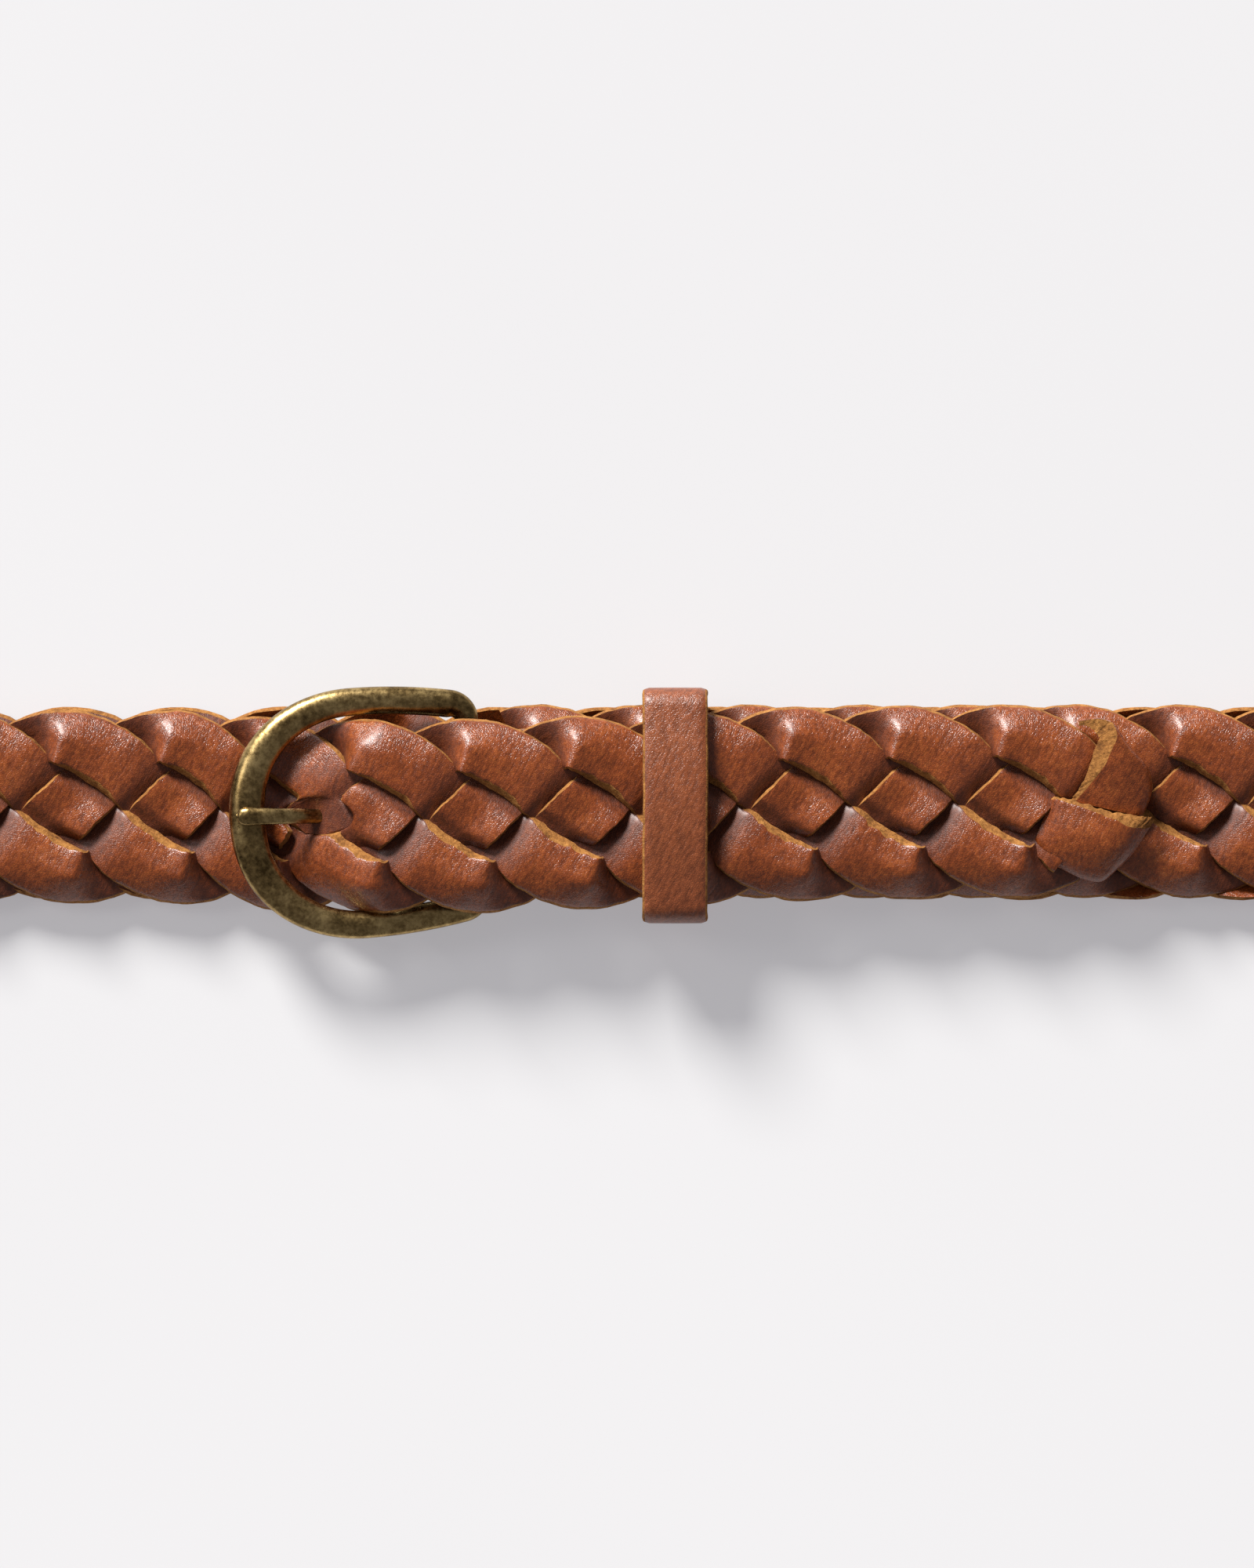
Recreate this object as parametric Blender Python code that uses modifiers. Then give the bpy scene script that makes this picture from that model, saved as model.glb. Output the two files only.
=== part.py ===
"""Braided leather belt, buckled into a loop and laid flat, in metres.

Four flat leather strips are plaited over one, under one, and turn in their own plane at both
edges. The loop lies pressed flat on its side with +X along the strap, +Y across it and +Z up.
Its back run lies on the floor and its two ends stand up in soft folds. The front run goes under
the rim of the buckle, over its bar and through the keeper, and ends in a free tail.
"""
from math import asin, cos, hypot, pi, radians, sin

import bmesh
import bpy
import numpy as np
from mathutils import Matrix, Vector

MM = 0.001

# Clearance between pieces that touch
CLEAR = 0.3 * MM

# Braid: width over the lobes, run of one full turn of a strip, strip thickness
BRAID_WIDTH = 38.0 * MM
TURN_LENGTH = 84.1 * MM
STRIP_THICKNESS = 1.5 * MM
STRIP_COVER = 0.86
ROW_SPACING = 7.5 * MM
NECK_HEIGHT = 8.0 * MM
STRIPS = 4

# Laid loop: half its outer length, radius of the end folds, how steeply the folds close
HALF_LENGTH = 210.15 * MM
FOLD_RADIUS = 18.0 * MM
FOLD_CLOSING = radians(50)

# Buckle: bar and rim places along the strap, outer height, wire sizes, swing and taper
BAR_X = -30.0 * MM
BUCKLE_REACH = 44.4 * MM
BUCKLE_HEIGHT = 49.0 * MM
RIM_WIDTH = 7.0 * MM
WIRE_DEPTH = 4.6 * MM
ARM_SHARE = 0.78
BAR_SHARE = 0.62
BUCKLE_Y = 1.6 * MM
BUCKLE_SWING = radians(4.3)
ARM_TAPER = radians(4.3)
CORNER_RADIUS = 3.6 * MM
CROWN_SQUARENESS = 0.88

# Strap wrap that holds the strips to the bar
WRAP_THICKNESS = 1.2 * MM
WRAP_LENGTH = 16.0 * MM
WRAP_WIDTH = 28.0 * MM
STRIP_START = 5.0 * MM

# Prong, with the angles where its hook starts under the bar and leaves its top
PRONG_WIDTH = 3.6 * MM
PRONG_DEPTH = 1.9 * MM
PRONG_SLOT = 5.0 * MM
PRONG_Y = -0.7 * MM
HOOK_START = radians(-75)
HOOK_END = radians(110)
HOOK_SHARES = (0.5, 0.8)

# Side of the prong beyond its hook. Place is the share of the way from the hook to the gap in the
# braid, or from there to the middle of the rim. Lift is in prong depths, from the height there
PRONG_TO_GAP = (
    # place, lift from the bar, share of the width
    (0.17, 0.84, 1.0),
)
PRONG_AT_GAP = (
    # place, lift from the middle of the braid, share of the width
    (0.66, -1.15, 1.0),
    (1.0, 0.0, 1.0),
)
PRONG_TO_RIM = (
    # place, lift from the rim, share of the width
    (0.5, -0.47, 1.0),
    (0.85, 0.0, 0.95),
    (1.0, 0.0, 0.8),
    (1.11, -0.1, 0.5),
)

# Gap in the braid for the prong, how sharply the strips part there, its phase in the braid in
# pitches, and how far the braid to the left gathers towards it
PRONG_HOLE_X = -60.2 * MM
HOLE_LENGTH = 16.0 * MM
HOLE_WIDTH = 7.2 * MM
HOLE_POWER = 3
HOLE_PHASE = 2.5
GATHER = 3.0 * MM
GATHER_LENGTH = 34.0 * MM

# Keeper
KEEPER_X = 9.4 * MM
KEEPER_WIDTH = 12.7 * MM
KEEPER_HEIGHT = 46.0 * MM
KEEPER_THICKNESS = 1.8 * MM
KEEPER_CORNER = 3.4 * MM
KEEPER_Y = 1.4 * MM

# Tail
TAIL_LENGTH = 132.8 * MM
TAIL_ROUNDING = 11.0 * MM

# Rises and falls of the strap
RISE_AFTER_RIM = 3.0 * MM
RISE_LENGTH = 25.0 * MM
EDGE_LAG = 10.0 * MM
RIM_LIFT = 1.0 * MM
DROP_LENGTH = 40.0 * MM

# Places across the strap of each run
BACK_Y = 1.8 * MM
UNDER_Y = 2.2 * MM

# The front run's place across the strap, at places along X
FRONT_DRIFT = (
    # along, across
    (-110 * MM, 1.1 * MM),
    (-86 * MM, 1.1 * MM),
    (-62 * MM, PRONG_Y),
    (BAR_X, PRONG_Y),
    (-8 * MM, 0.0 * MM),
    (34 * MM, 1.7 * MM),
    (76 * MM, 2.2 * MM),
)

# Around the prong the strips are cut into smaller faces than this, so that they bend cleanly
FACE_SIZE = 4.4 * MM

# Points of the frame's outline: along half the bar, round a corner and round half the crown, and
# where its arms bend, as shares of their length and of their spread
BAR_STEPS = 2
CORNER_STEPS = 3
CROWN_STEPS = 8
ARM_BEND = (0.6, 0.7)

# Sides of the wires, points of the hook, and points round the wrap and the keeper's corners
FRAME_SIDES = 8
PRONG_SIDES = 6
HOOK_STEPS = 7
WRAP_STEPS = 8
KEEPER_STEPS = 4

# Spacing of the points of the strap's middle line
LINE_STEP = 0.5 * MM

# Height of a strip's middle at the edge of a crossing, as a share of its full height
EDGE_SHARE = 0.62

# Sections of a strip between an edge turn and the middle of the braid. Place is counted in
# crossings from the first one, height as a share of the full height, bulge in millimetres
STRIP_SECTIONS = (
    # place, height, bulge
    (-STRIP_COVER / 2, 0.85, 3.0),
    (-0.2, 1.0, 1.2),
    (0.2, 1.0, 0.0),
    (STRIP_COVER / 2, EDGE_SHARE, 0.0),
    (1 - STRIP_COVER / 2, -EDGE_SHARE, 0.0),
    (0.8, -1.0, 0.0),
)

LEATHER = (0.27, 0.085, 0.035, 1.0)
BRASS = (0.17, 0.125, 0.055, 1.0)

# Sizes that follow from the ones above
PITCH = TURN_LENGTH / STRIPS
STEP_X = TURN_LENGTH / 8
WEAVE = (STRIP_THICKNESS + CLEAR) / (2 * EDGE_SHARE)
BRAID_DEPTH = 2 * WEAVE + STRIP_THICKNESS
LAYER = BRAID_DEPTH + CLEAR
BACK_Z = BRAID_DEPTH / 2
UNDER_Z = BACK_Z + LAYER
TAIL_Z = UNDER_Z + LAYER
WRAP_INNER = BRAID_DEPTH / 2 + CLEAR
WRAP_OUTER = WRAP_INNER + WRAP_THICKNESS
BAR_Z = BRAID_DEPTH + CLEAR + WRAP_OUTER
BAR_WIDTH = RIM_WIDTH * BAR_SHARE
HOOK_RADIUS = BAR_WIDTH / 2 + CLEAR + PRONG_DEPTH / 2
OVER_BAR_Z = BAR_Z + HOOK_RADIUS + PRONG_DEPTH / 2 + CLEAR + BRAID_DEPTH / 2
RIM_X = BAR_X - BUCKLE_REACH
RIM_Z = UNDER_Z + BRAID_DEPTH / 2 + CLEAR + WIRE_DEPTH / 2 + RIM_LIFT
UNDER_KEEPER_Z = BRAID_DEPTH + CLEAR + KEEPER_THICKNESS + CLEAR + BRAID_DEPTH / 2
TAIL_KEEPER_Z = UNDER_KEEPER_Z + LAYER
TIP_X = BAR_X + TAIL_LENGTH
RISE_X = RIM_X + RISE_AFTER_RIM
KEEPER_LEFT = KEEPER_X - KEEPER_WIDTH / 2
KEEPER_RIGHT = KEEPER_X + KEEPER_WIDTH / 2
FOLD_BACK = (FOLD_RADIUS * (1 + cos(FOLD_CLOSING)) - LAYER) / (1 - cos(FOLD_CLOSING))
FOLD_CENTRE = HALF_LENGTH - BRAID_DEPTH / 2 - FOLD_RADIUS
FOLD_START = FOLD_CENTRE - (FOLD_BACK + FOLD_RADIUS) * sin(FOLD_CLOSING)

FRONT_HEIGHTS = (
    # along, height
    (RISE_X, UNDER_Z),
    (RISE_X + RISE_LENGTH, OVER_BAR_Z),
    (BAR_X + WRAP_LENGTH, OVER_BAR_Z),
    (KEEPER_LEFT, TAIL_KEEPER_Z),
    (KEEPER_RIGHT, TAIL_KEEPER_Z),
    (KEEPER_RIGHT + DROP_LENGTH, TAIL_Z),
)
UNDER_HEIGHTS = (
    # along, height
    (BAR_X + WRAP_LENGTH, BAR_Z),
    (KEEPER_LEFT, UNDER_KEEPER_Z),
    (KEEPER_RIGHT, UNDER_KEEPER_Z),
    (KEEPER_RIGHT + DROP_LENGTH, UNDER_Z),
)


def clear_scene():
    for obj in list(bpy.data.objects):
        bpy.data.objects.remove(obj, do_unlink=True)


def new_collection(name):
    collection = bpy.data.collections.new(name)
    bpy.context.scene.collection.children.link(collection)
    return collection


def make_material(name, colour, roughness, metallic):
    material = bpy.data.materials.new(name)
    material.use_nodes = True
    shader = material.node_tree.nodes["Principled BSDF"]
    shader.inputs["Base Color"].default_value = colour
    shader.inputs["Roughness"].default_value = roughness
    shader.inputs["Metallic"].default_value = metallic
    return material


def eased(table, x):
    """Value of a two-column table at x, level at each of its rows."""
    places = [row[0] for row in table]
    values = [row[1] for row in table]
    if x <= places[0]:
        return values[0]
    for i in range(len(table) - 1):
        if x <= places[i + 1]:
            t = (x - places[i]) / (places[i + 1] - places[i])
            return values[i] + (values[i + 1] - values[i]) * t * t * (3 - 2 * t)
    return values[-1]


def rise(x, v):
    """Height of the front run where it climbs through the buckle, later at its two edges."""
    lag = EDGE_LAG * min(1.0, abs(v) / (BRAID_WIDTH / 2)) ** 2
    return eased(((RISE_X + lag, UNDER_Z), (RISE_X + RISE_LENGTH, OVER_BAR_Z)), x)


def arc_points(centre_x, centre_z, radius, start, end):
    """Points of an arc in the XZ plane, angles counted from +X towards +Z."""
    count = int(abs(end - start) * radius / LINE_STEP)
    angles = np.linspace(start, end, count)
    return [(centre_x + radius * cos(a), centre_z + radius * sin(a)) for a in angles]


class StrapPath:
    """Middle line of the whole strap, from the bar round the loop to the tip of the tail."""

    def __init__(self):
        step = LINE_STEP
        under_x = np.arange(BAR_X + STRIP_START, FOLD_START, step)
        points = [(x, eased(UNDER_HEIGHTS, x)) for x in under_x]
        points += self.fold(1.0)
        back_x = np.arange(FOLD_CENTRE - step, -FOLD_CENTRE, -step)
        points += [(x, BACK_Z) for x in back_x]
        points += [(x, z) for x, z in reversed(self.fold(-1.0))]
        front_x = np.arange(-FOLD_START + step, TIP_X + step / 2, step)
        points += [(x, eased(FRONT_HEIGHTS, x)) for x in front_x]
        line = np.array(points)
        gaps = np.hypot(*np.diff(line, axis=0).T)
        keep = np.concatenate(([True], gaps > step / 100))
        self.line = line[keep]
        self.along = np.concatenate(([0.0], np.cumsum(np.hypot(*np.diff(self.line, axis=0).T))))
        slope = np.gradient(self.line, self.along, axis=0)
        self.slope = slope / np.hypot(*slope.T)[:, None]
        self.length = self.along[-1]
        front = self.along[-len(front_x):]
        self.front_start = front[0]
        self.hole = float(np.interp(PRONG_HOLE_X, front_x, front))
        self.climb = np.interp((RISE_X, RISE_X + RISE_LENGTH), front_x, front)
        self.under_end = self.along[len(under_x) - 1]
        self.back_middle = (self.under_end + self.front_start) / 2

    def fold(self, side):
        """End fold from the upper run down to the back run, at +X or mirrored to -X."""
        points = arc_points(FOLD_START, UNDER_Z + FOLD_BACK, FOLD_BACK,
                            -pi / 2, -pi / 2 + FOLD_CLOSING)
        points += arc_points(FOLD_CENTRE, BACK_Z + FOLD_RADIUS, FOLD_RADIUS,
                             pi / 2 + FOLD_CLOSING, -pi / 2)
        return [(side * x, z) for x, z in points]

    def drift(self, u, x):
        """Place across the strap."""
        fold = self.under_end
        if u < fold:
            return UNDER_Y
        if u >= self.front_start:
            return eased(FRONT_DRIFT, x)
        turn = FOLD_BACK * FOLD_CLOSING + FOLD_RADIUS * (pi + FOLD_CLOSING)
        table = (
            (fold, UNDER_Y),
            (fold + turn, BACK_Y),
            (self.front_start - turn, BACK_Y),
            (self.front_start, FRONT_DRIFT[0][1]),
        )
        return eased(table, u)

    def point(self, u, v, w):
        """World point at u along the strap, v across it and w out of its middle surface."""
        x = np.interp(u, self.along, self.line[:, 0])
        z = np.interp(u, self.along, self.line[:, 1])
        if u > self.front_start:
            z += rise(x, v) - rise(x, 0.0)
        tx = np.interp(u, self.along, self.slope[:, 0])
        tz = np.interp(u, self.along, self.slope[:, 1])
        size = hypot(tx, tz)
        return Vector((x - w * tz / size, self.drift(u, x) + v, z + w * tx / size))


def around_prong(u, v, centre):
    """The braid parts round the prong and gathers towards it from the left."""
    far = hypot((u - centre) / (HOLE_LENGTH / 2), v / (HOLE_WIDTH / 2))
    push = (far ** HOLE_POWER + 1) ** (1 / HOLE_POWER) / far
    u = centre + (u - centre) * push
    gathered = ((centre - GATHER_LENGTH, GATHER), (centre, 0.0))
    return u + eased(gathered, u), v * push


def half_turn_sections():
    """Sections of a strip from its turn at the top edge down to the turn at the bottom edge.

    Each is the left edge, the right edge and the height of the middle. Inside the braid the
    sections run along the strips that cross, so a strip changes height between two of them.
    """
    reach = STRIP_COVER / 2
    first = [((0.0, BRAID_WIDTH / 2), (0.0, NECK_HEIGHT), 0.0)]
    for place, height, bulge in STRIP_SECTIONS:
        left = ((1 + place + reach) * STEP_X, (1 - place + reach) * ROW_SPACING + bulge * MM)
        right = ((1 + place - reach) * STEP_X, (1 - place - reach) * ROW_SPACING)
        first.append((left, right, height * WEAVE))
    second = []
    for left, right, height in reversed(first[1:]):
        flipped_left = (4 * STEP_X - right[0], -right[1])
        flipped_right = (4 * STEP_X - left[0], -left[1])
        second.append((flipped_left, flipped_right, height))
    return first + second


def strip_sections(path, number):
    """All sections of one strip that fall within the strap, in order along it."""
    down = half_turn_sections()
    sections = []
    first_turn = path.hole + PITCH * (HOLE_PHASE + number)
    turns = int(path.length / TURN_LENGTH) + 2
    for turn in range(-turns, 2):
        for rising in (False, True):
            start = first_turn + turn * TURN_LENGTH + rising * TURN_LENGTH / 2
            for left, right, height in down:
                if rising:
                    left, right = (right[0], -right[1]), (left[0], -left[1])
                    height = -height
                low = start + min(left[0], right[0])
                high = start + max(left[0], right[0])
                outer = max(abs(left[1]), abs(right[1])) / (BRAID_WIDTH / 2)
                if low >= -GATHER and high <= path.length - TAIL_ROUNDING * outer ** 3:
                    sections.append(((start + left[0], left[1]), (start + right[0], right[1]), height))
    return sections


def split_at_back(path, sections):
    """Both halves of a strip, which meet at its turn nearest to the middle of the back run."""
    def far(i):
        left, right, _ = sections[i]
        return abs(left[0] + GATHER - path.back_middle) if left[0] == right[0] else path.length
    i = min(range(len(sections)), key=far)
    left, right, height = sections[i]
    start = ((left[0] + CLEAR, left[1]), (right[0] + CLEAR, right[1]), height)
    return sections[:i + 1], [start] + sections[i + 1:]


def refine(strip_mesh, path):
    """Cut the faces that bend at the prong until none of their edges is long."""
    for _ in range(2):
        long_edges = []
        for edge in strip_mesh.edges:
            middle = (edge.verts[0].co + edge.verts[1].co) / 2
            if path.climb[0] - GATHER < middle.x < path.climb[1] and edge.calc_length() > FACE_SIZE:
                long_edges.append(edge)
        bmesh.ops.subdivide_edges(strip_mesh, edges=long_edges, cuts=1, use_grid_fill=True)
    bmesh.ops.triangulate(strip_mesh, faces=strip_mesh.faces)


def make_strip(name, sections, path, material, collection):
    """Half a plaited strip, lofted flat through its four-cornered sections, then laid on the path."""
    strip_mesh = bmesh.new()
    rings = []
    for left, right, height in sections:
        ring = []
        for (u, v), side in ((left, 1), (right, 1), (right, -1), (left, -1)):
            ring.append(strip_mesh.verts.new((u, v, height + side * STRIP_THICKNESS / 2)))
        rings.append(ring)
    strip_mesh.faces.new(reversed(rings[0]))
    for ring, following in zip(rings, rings[1:]):
        for j in range(4):
            k = (j + 1) % 4
            strip_mesh.faces.new((ring[j], ring[k], following[k], following[j]))
    strip_mesh.faces.new(rings[-1])
    refine(strip_mesh, path)
    for vertex in strip_mesh.verts:
        u, v = around_prong(vertex.co.x, vertex.co.y, path.hole)
        vertex.co = path.point(u, v, vertex.co.z)
    mesh = bpy.data.meshes.new(name)
    strip_mesh.to_mesh(mesh)
    strip_mesh.free()
    mesh.materials.append(material)
    strip = bpy.data.objects.new(name, mesh)
    collection.objects.link(strip)
    return strip


def frame_outline():
    """Middle line of the frame's wire: place along, place across and share of the full size."""
    half = BUCKLE_HEIGHT / 2 - RIM_WIDTH * ARM_SHARE / 2
    crown = half
    arm = BUCKLE_REACH - crown
    bar_half = half - arm * sin(ARM_TAPER)
    side = []
    for i in range(BAR_STEPS + 1):
        side.append((0.0, (bar_half - CORNER_RADIUS) * i / BAR_STEPS, BAR_SHARE))
    for i in range(1, CORNER_STEPS + 1):
        a = pi / 2 * i / CORNER_STEPS
        share = BAR_SHARE + (ARM_SHARE - BAR_SHARE) * i / CORNER_STEPS
        side.append((-CORNER_RADIUS * (1 - cos(a)),
                     bar_half - CORNER_RADIUS * (1 - sin(a)), share))
    side.append((-arm * ARM_BEND[0], bar_half + (half - bar_half) * ARM_BEND[1], ARM_SHARE))
    for i in range(CROWN_STEPS + 1):
        a = pi / 2 * i / CROWN_STEPS
        share = ARM_SHARE + (1 - ARM_SHARE) * sin(a) ** 2
        side.append((-arm - crown * sin(a), half * cos(a) ** CROWN_SQUARENESS, share))
    mirrored = [(x, -y, share) for x, y, share in reversed(side[1:-1])]
    return list(reversed(side + mirrored))


def make_section_guide(name, width, depth, sides, collection):
    """Oval outline that a bent wire is swept with."""
    curve = bpy.data.curves.new(name, "CURVE")
    curve.dimensions = "2D"
    curve.fill_mode = "NONE"
    spline = curve.splines.new("POLY")
    spline.points.add(sides - 1)
    for i, point in enumerate(spline.points):
        a = -2 * pi * (i + 0.5) / sides
        point.co = (width / 2 * cos(a), depth / 2 * sin(a), 0, 1)
    spline.use_cyclic_u = True
    guide = bpy.data.objects.new(name, curve)
    guide.hide_render = True
    guide.display_type = "WIRE"
    collection.objects.link(guide)
    return guide


def make_wire(name, rows, guide, cyclic, material, collection):
    """Wire swept along points with a share of the guide's size at each."""
    curve = bpy.data.curves.new(name, "CURVE")
    curve.dimensions = "3D"
    curve.twist_mode = "Z_UP"
    curve.bevel_mode = "OBJECT"
    curve.bevel_object = guide
    curve.use_fill_caps = not cyclic
    spline = curve.splines.new("POLY")
    spline.points.add(len(rows) - 1)
    for point, (x, y, z, share) in zip(spline.points, rows):
        point.co = (x, y, z, 1)
        point.radius = share
    spline.use_cyclic_u = cyclic
    curve.materials.append(material)
    wire = bpy.data.objects.new(name, curve)
    collection.objects.link(wire)
    return wire


def make_buckle_frame(material, collection, guides):
    """Horseshoe frame with its bar, tilted so that the rim rides over the strap."""
    guide = make_section_guide("frame_section", RIM_WIDTH, WIRE_DEPTH, FRAME_SIDES, guides)
    rows = [(x, y, 0.0, share) for x, y, share in frame_outline()]
    frame = make_wire("buckle_frame", rows, guide, True, material, collection)
    tilt = asin((RIM_Z - BAR_Z) / BUCKLE_REACH)
    frame.matrix_world = (
        Matrix.Translation((BAR_X, BUCKLE_Y, BAR_Z))
        @ Matrix.Rotation(tilt, 4, "Y")
        @ Matrix.Rotation(BUCKLE_SWING, 4, "Z")
    )
    return frame


def make_prong(material, collection, guides):
    """Prong hooked on the bar, up through the braid and down on the rim."""
    guide = make_section_guide("prong_section", PRONG_WIDTH, PRONG_DEPTH, PRONG_SIDES, guides)
    rows = []
    for i in range(HOOK_STEPS + 1):
        a = HOOK_START + (HOOK_END - HOOK_START) * i / HOOK_STEPS
        share = HOOK_SHARES[0] + (HOOK_SHARES[1] - HOOK_SHARES[0]) * i / HOOK_STEPS
        rows.append((BAR_X + HOOK_RADIUS * cos(a), PRONG_Y, BAR_Z + HOOK_RADIUS * sin(a), share))
    hook_x = BAR_X - HOOK_RADIUS
    gap_z = eased(FRONT_HEIGHTS, PRONG_HOLE_X)
    rim_z = RIM_Z + WIRE_DEPTH / 2 + CLEAR + PRONG_DEPTH / 2
    for side, start, end, height in (
        (PRONG_TO_GAP, hook_x, PRONG_HOLE_X, BAR_Z),
        (PRONG_AT_GAP, hook_x, PRONG_HOLE_X, gap_z),
        (PRONG_TO_RIM, PRONG_HOLE_X, RIM_X, rim_z),
    ):
        for place, lift, share in side:
            x = start + (end - start) * place
            rows.append((x, PRONG_Y, height + lift * PRONG_DEPTH, share))
    return make_wire("prong", rows, guide, False, material, collection)


def rounded_box_points(half_width, half_height, corner, steps):
    points = []
    for sx, sy, start in ((1, 1, 0), (-1, 1, 90), (-1, -1, 180), (1, -1, 270)):
        for i in range(steps + 1):
            a = radians(start + 90 * i / steps)
            points.append((sx * (half_width - corner) + corner * cos(a),
                           sy * (half_height - corner) + corner * sin(a)))
    return points


def make_keeper(material, collection):
    """Band round the tail and the strap below it."""
    height = 2 * BRAID_DEPTH + 3 * CLEAR + 2 * KEEPER_THICKNESS
    curve = bpy.data.curves.new("keeper", "CURVE")
    curve.dimensions = "2D"
    curve.fill_mode = "BOTH"
    curve.extrude = KEEPER_WIDTH / 2
    for inset in (0.0, KEEPER_THICKNESS):
        outline = rounded_box_points(KEEPER_HEIGHT / 2 - inset, height / 2 - inset,
                                     KEEPER_CORNER - inset, KEEPER_STEPS)
        spline = curve.splines.new("POLY")
        spline.points.add(len(outline) - 1)
        for point, (x, y) in zip(spline.points, outline):
            point.co = (x, y, 0, 1)
        spline.use_cyclic_u = True
    curve.materials.append(material)
    keeper = bpy.data.objects.new("keeper", curve)
    middle = (UNDER_KEEPER_Z + TAIL_KEEPER_Z) / 2
    keeper.matrix_world = (
        Matrix.Translation((KEEPER_X, KEEPER_Y, middle))
        @ Matrix.Rotation(pi / 2, 4, "Z")
        @ Matrix.Rotation(pi / 2, 4, "X")
    )
    collection.objects.link(keeper)
    return keeper


def make_bar_wrap(material, collection):
    """Leather folded round the bar, over and under the ends of the strips."""
    radius = (WRAP_INNER + WRAP_OUTER) / 2
    profile = [(WRAP_LENGTH, radius), (WRAP_LENGTH / 2, radius)]
    for i in range(WRAP_STEPS + 1):
        a = pi / 2 + pi * i / WRAP_STEPS
        profile.append((radius * cos(a), radius * sin(a)))
    profile += [(WRAP_LENGTH / 2, -radius), (WRAP_LENGTH, -radius)]
    middle = PRONG_Y - BUCKLE_Y
    columns = (-WRAP_WIDTH / 2, middle - PRONG_SLOT / 2, middle + PRONG_SLOT / 2, WRAP_WIDTH / 2)
    points = [(x, y, z) for x, z in profile for y in columns]
    faces = []
    slot = range(1, len(profile) - 2)
    for i in range(len(profile) - 1):
        for j in range(3):
            if j == 1 and i in slot:
                continue
            a = 4 * i + j
            faces.append((a, a + 4, a + 5, a + 1))
    mesh = bpy.data.meshes.new("bar_wrap")
    mesh.from_pydata(points, [], faces)
    mesh.materials.append(material)
    wrap = bpy.data.objects.new("bar_wrap", mesh)
    collection.objects.link(wrap)
    wrap.location = (BAR_X, BUCKLE_Y, BAR_Z)
    wrap.rotation_euler = (0, 0, BUCKLE_SWING)
    wall = wrap.modifiers.new("wall", "SOLIDIFY")
    wall.thickness = WRAP_THICKNESS
    wall.offset = 0
    return wrap


def build():
    clear_scene()
    belt = new_collection("braided_belt")
    guides = new_collection("guides")
    leather = make_material("leather", LEATHER, 0.45, 0.0)
    brass = make_material("antique_brass", BRASS, 0.35, 1.0)
    path = StrapPath()
    for number in range(STRIPS):
        halves = split_at_back(path, strip_sections(path, number))
        for half, end in zip(halves, ("right", "left")):
            make_strip(f"strand_{number + 1}_{end}", half, path, leather, belt)
    make_buckle_frame(brass, belt, guides)
    make_prong(brass, belt, guides)
    make_keeper(leather, belt)
    make_bar_wrap(leather, belt)


build()
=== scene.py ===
"""Braided leather belt, buckled and laid flat: fine strips, buckle, prong, keeper and light."""
from math import asin, cos, pi, radians, sin

import bpy
import numpy as np
from mathutils import Matrix, Vector


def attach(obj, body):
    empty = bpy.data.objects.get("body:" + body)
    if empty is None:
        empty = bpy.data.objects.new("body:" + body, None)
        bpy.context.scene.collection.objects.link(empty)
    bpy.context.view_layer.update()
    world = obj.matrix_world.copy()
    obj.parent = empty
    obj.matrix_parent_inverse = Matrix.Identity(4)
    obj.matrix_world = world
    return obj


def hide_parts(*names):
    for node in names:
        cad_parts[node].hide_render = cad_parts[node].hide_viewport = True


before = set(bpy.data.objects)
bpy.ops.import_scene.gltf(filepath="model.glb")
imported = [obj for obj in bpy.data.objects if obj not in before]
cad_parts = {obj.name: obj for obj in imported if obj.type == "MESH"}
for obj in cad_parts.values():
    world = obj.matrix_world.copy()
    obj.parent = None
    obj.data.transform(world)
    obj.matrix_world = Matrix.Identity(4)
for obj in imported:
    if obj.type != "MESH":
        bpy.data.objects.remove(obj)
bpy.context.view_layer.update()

MM = 0.001

# Sizes of the model's frame, in metres
CLEAR = 0.3 * MM
BRAID_WIDTH = 38.0 * MM
TURN_LENGTH = 84.1 * MM
STRIP_THICKNESS = 1.5 * MM
STRIPS = 4
WEAVE = 1.4516 * MM
HALF_LENGTH = 210.15 * MM
FOLD_RADIUS = 18.0 * MM
FOLD_CLOSING = radians(50)
BAR_X = -30.0 * MM
BUCKLE_REACH = 44.4 * MM
BUCKLE_HEIGHT = 49.0 * MM
RIM_WIDTH = 7.0 * MM
WIRE_DEPTH = 4.6 * MM
ARM_SHARE = 0.78
BAR_SHARE = 0.62
BUCKLE_Y = 1.6 * MM
BUCKLE_SWING = radians(4.3)
ARM_TAPER = radians(4.3)
CORNER_RADIUS = 3.6 * MM
CROWN_SQUARENESS = 0.88
WRAP_THICKNESS = 1.2 * MM
WRAP_LENGTH = 16.0 * MM
WRAP_WIDTH = 28.0 * MM
STRIP_START = 5.0 * MM
PRONG_DEPTH = 1.9 * MM
PRONG_Y = -0.7 * MM
PRONG_SLOT = 5.0 * MM
PRONG_HOLE_X = -60.2 * MM
HOLE_LENGTH = 16.0 * MM
HOLE_WIDTH = 7.2 * MM
HOLE_POWER = 3
HOLE_PHASE = 2.5
GATHER = 3.0 * MM
GATHER_LENGTH = 34.0 * MM
KEEPER_X = 9.4 * MM
KEEPER_WIDTH = 12.7 * MM
KEEPER_HEIGHT = 46.0 * MM
KEEPER_THICKNESS = 1.8 * MM
KEEPER_CORNER = 3.4 * MM
KEEPER_Y = 1.4 * MM
KEEPER_DOME = 2.7 * MM
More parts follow.
